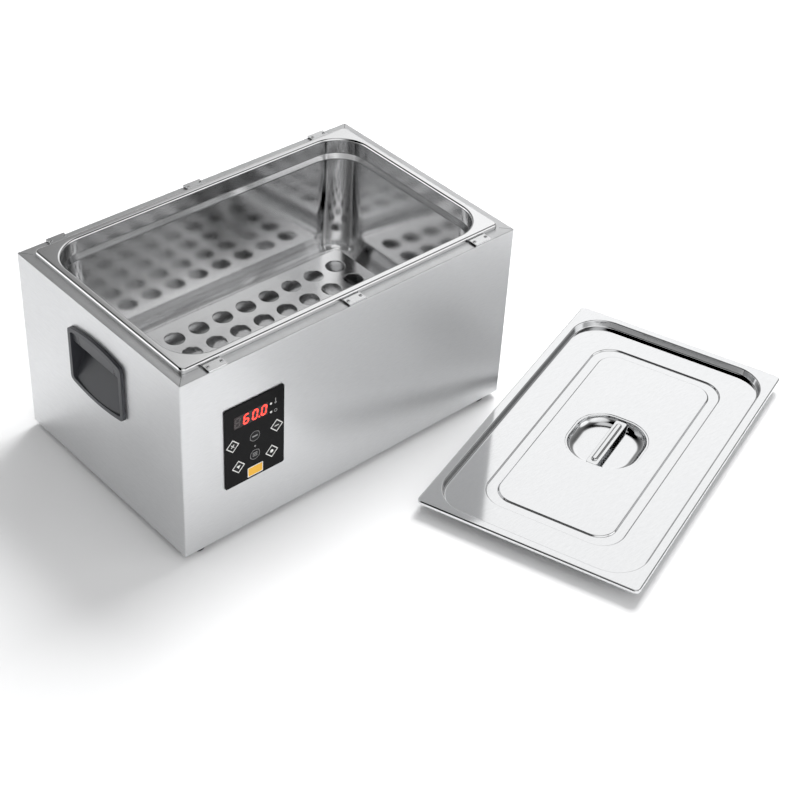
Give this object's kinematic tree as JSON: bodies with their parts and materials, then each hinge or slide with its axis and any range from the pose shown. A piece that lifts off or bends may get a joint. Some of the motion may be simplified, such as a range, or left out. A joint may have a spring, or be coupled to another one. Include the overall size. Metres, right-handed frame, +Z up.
{
  "type": "sous vide water bath",
  "caption": "Countertop water bath: steel casing with touch panel and recessed side handles, gastronorm tank with perforated false bottom, and a loose lid beside it.",
  "frame": {"origin": "on the standing plane, at the middle of the rectangle that the bath and the lid beside it cover together", "axes": "+X along the bath's long side towards the lid, +Y from the control panel to the back, +Z up"},
  "size_m": [0.9054, 0.7822, 0.2975],
  "materials": {
    "casing_steel": "brushed stainless",
    "clip_steel": "brushed stainless",
    "tank_steel": "polished stainless",
    "plate_steel": "brushed stainless",
    "lid_steel": "polished stainless",
    "zinc_steel": "zinc plated",
    "foot_rubber": "matte",
    "gasket_rubber": "matte",
    "handle_plastic": "satin moulding",
    "panel_film": "glossy printed film",
    "key_film": "glossy printed film",
    "lens": "smoked red",
    "inlet_plastic": "satin moulding",
    "silicone": "matte silicone",
    "clamp_aluminium": "mill finish",
    "wool": "mineral fibre",
    "probe_steel": "fine ground",
    "board": "solder mask",
    "pale_plastic": "moulded",
    "brass": "turned",
    "wire_jacket": "cable jacket"
  },
  "bodies": {
    "bath": {"casing_front": "casing_steel", "casing_back": "casing_steel", "casing_left": "casing_steel", "casing_right": "casing_steel", "base_plate": "zinc_steel", "foot_front_left": "foot_rubber", "foot_front_right": "foot_rubber", "foot_back_left": "foot_rubber", "foot_back_right": "foot_rubber", "water_tank": "tank_steel", "tank_gasket": "gasket_rubber", "rim_clip_front_left": "clip_steel", "rim_clip_front_middle": "clip_steel", "rim_clip_front_right": "clip_steel", "rim_clip_back_left": "clip_steel", "rim_clip_back_middle": "clip_steel", "rim_clip_back_right": "clip_steel", "side_handle_left": "handle_plastic", "side_handle_right": "handle_plastic", "panel_overlay": "panel_film", "display_window": "lens", "display_module": "pale_plastic", "control_board": "board", "board_bracket": "zinc_steel", "heater_pad": "silicone", "heater_clamp_plate": "clamp_aluminium", "insulation_band": "wool", "temperature_probe": "probe_steel", "probe_clip": "zinc_steel", "safety_thermostat": "inlet_plastic", "power_board": "board", "heater_relay": "pale_plastic", "terminal_block": "pale_plastic", "earth_stud": "brass", "mains_inlet": "inlet_plastic", "wire_mains": "wire_jacket", "wire_heater": "silicone", "wire_probe": "wire_jacket", "wire_panel": "wire_jacket", "wire_thermostat": "wire_jacket"},
    "false_bottom": {"false_bottom_plate": "plate_steel", "false_bottom_rail_left": "plate_steel", "false_bottom_rail_right": "plate_steel"},
    "lid": {"lid_pressing": "lid_steel", "lid_grip": "lid_steel"},
    "cancel_key": {"key_cancel": "key_film"},
    "set_key": {"key_set": "key_film"},
    "hold_key": {"key_hold": "key_film"},
    "timer_key": {"key_timer": "key_film"},
    "temperature_key": {"key_temperature": "key_film"},
    "program_key": {"key_program": "key_film"},
    "rocker": {"power_rocker": "inlet_plastic"},
    "drawer": {"fuse_drawer": "inlet_plastic"}
  },
  "joints": [
    {"name": "lid_lift", "type": "slide", "parent": "bath", "child": "lid", "axis": [0, 0, 1], "range_m": [0, 0.35]},
    {"name": "false_bottom_lift", "type": "slide", "parent": "bath", "child": "false_bottom", "axis": [0, 0, 1], "range_m": [0, 0.2]},
    {"name": "cancel_key_press", "type": "slide", "parent": "bath", "child": "cancel_key", "axis": [0, 1, 0], "range_m": [0, 0.0005], "stiffness_N_per_m": 1000},
    {"name": "set_key_press", "type": "slide", "parent": "bath", "child": "set_key", "axis": [0, 1, 0], "range_m": [0, 0.0005], "stiffness_N_per_m": 1000},
    {"name": "hold_key_press", "type": "slide", "parent": "bath", "child": "hold_key", "axis": [0, 1, 0], "range_m": [0, 0.0005], "stiffness_N_per_m": 1000},
    {"name": "timer_key_press", "type": "slide", "parent": "bath", "child": "timer_key", "axis": [0, 1, 0], "range_m": [0, 0.0005], "stiffness_N_per_m": 1000},
    {"name": "temperature_key_press", "type": "slide", "parent": "bath", "child": "temperature_key", "axis": [0, 1, 0], "range_m": [0, 0.0005], "stiffness_N_per_m": 1000},
    {"name": "program_key_press", "type": "slide", "parent": "bath", "child": "program_key", "axis": [0, 1, 0], "range_m": [0, 0.0005], "stiffness_N_per_m": 1000},
    {"name": "power_rocker_turn", "type": "hinge", "parent": "bath", "child": "rocker", "pos_m": [0.03761, 0.38492, 0.077], "axis": [0, 0, -1], "range_deg": [0, 16]},
    {"name": "fuse_drawer_slide", "type": "slide", "parent": "bath", "child": "drawer", "axis": [0, 1, 0], "range_m": [0, 0.018]}
  ]
}
